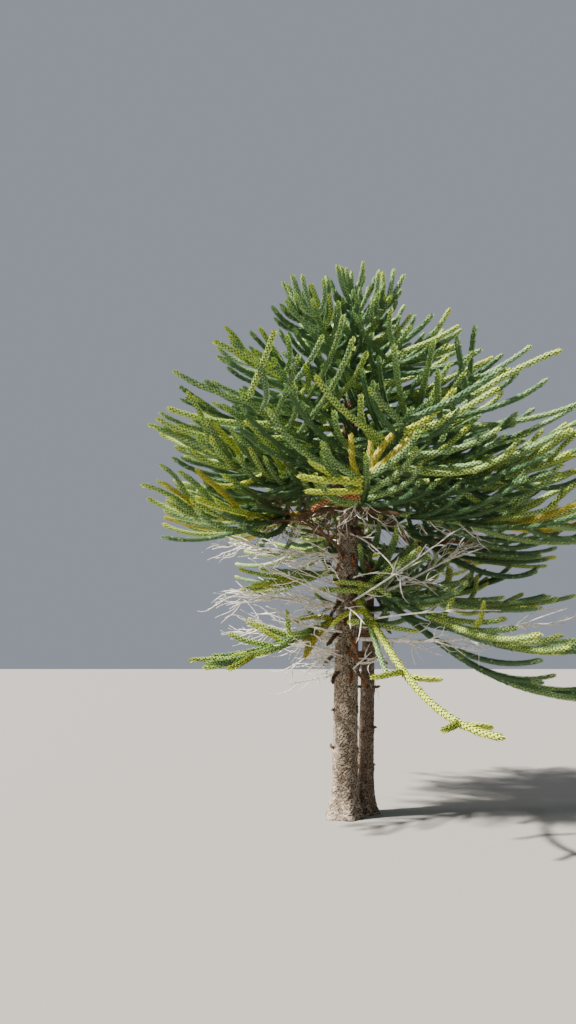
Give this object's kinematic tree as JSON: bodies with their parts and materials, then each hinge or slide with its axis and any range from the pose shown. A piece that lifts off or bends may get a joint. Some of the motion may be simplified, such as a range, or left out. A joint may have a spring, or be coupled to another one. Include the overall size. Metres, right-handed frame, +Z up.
{
  "type": "monkey puzzle tree",
  "caption": "Young monkey puzzle tree with a bare trunk, whorls of rope-like leafy boughs, dead lower limbs and a smaller second stem from the same root.",
  "frame": {"origin": "middle of the trunk's flat cut at ground level", "axes": "+Z up along the trunk, +X to the right and +Y away for a viewer in front of the tree"},
  "size_m": [4.5249, 4.6342, 5.7535],
  "materials": {
    "bark": "rough grey-brown bark with leaf scars",
    "bough_bark": "rough brown bark",
    "leaf": "stiff waxy leaves, satin",
    "low_leaf": "stiff waxy leaves, satin",
    "dead_wood": "bare weathered wood, pale grey"
  },
  "bodies": {
    "root": {"broad_1_foliage": "leaf", "broad_2_foliage": "leaf", "broad_3_foliage": "leaf", "broad_4_foliage": "leaf", "broad_5_foliage": "leaf", "broad_6_foliage": "leaf", "crest_1_foliage": "leaf", "crest_2_foliage": "leaf", "crest_3_foliage": "leaf", "crest_4_foliage": "leaf", "dead_limb_1": "dead_wood", "dead_limb_2": "dead_wood", "dead_limb_3": "dead_wood", "dead_limb_4": "dead_wood", "dead_limb_5": "dead_wood", "dead_limb_6": "dead_wood", "hanger_front_foliage": "low_leaf", "hanger_left_foliage": "low_leaf", "hanger_long_foliage": "low_leaf", "hanger_low_foliage": "low_leaf", "hanger_right_foliage": "low_leaf", "hanger_side_foliage": "low_leaf", "high_1_foliage": "leaf", "high_2_foliage": "leaf", "high_3_foliage": "leaf", "high_4_foliage": "leaf", "high_5_foliage": "leaf", "leader_foliage": "leaf", "middle_1_foliage": "leaf", "middle_2_foliage": "leaf", "middle_3_foliage": "leaf", "middle_4_foliage": "leaf", "middle_5_foliage": "leaf", "second_stem": "bark", "skirt_1_bough": "bough_bark", "skirt_1_foliage": "leaf", "skirt_2_bough": "bough_bark", "skirt_2_foliage": "leaf", "skirt_3_bough": "bough_bark", "skirt_3_foliage": "leaf", "skirt_4_bough": "bough_bark", "skirt_4_foliage": "leaf", "skirt_5_bough": "bough_bark", "skirt_5_foliage": "leaf", "skirt_6_bough": "bough_bark", "skirt_6_foliage": "leaf", "stem_back_foliage": "low_leaf", "stem_leader_foliage": "leaf", "stem_right_foliage": "low_leaf", "trunk": "bark", "upper_1_foliage": "leaf", "upper_2_foliage": "leaf", "upper_3_foliage": "leaf", "upper_4_foliage": "leaf", "wide_1_foliage": "leaf", "wide_2_foliage": "leaf", "wide_3_foliage": "leaf", "wide_4_foliage": "leaf", "wide_5_foliage": "leaf", "wide_6_foliage": "leaf"}
  },
  "joints": []
}
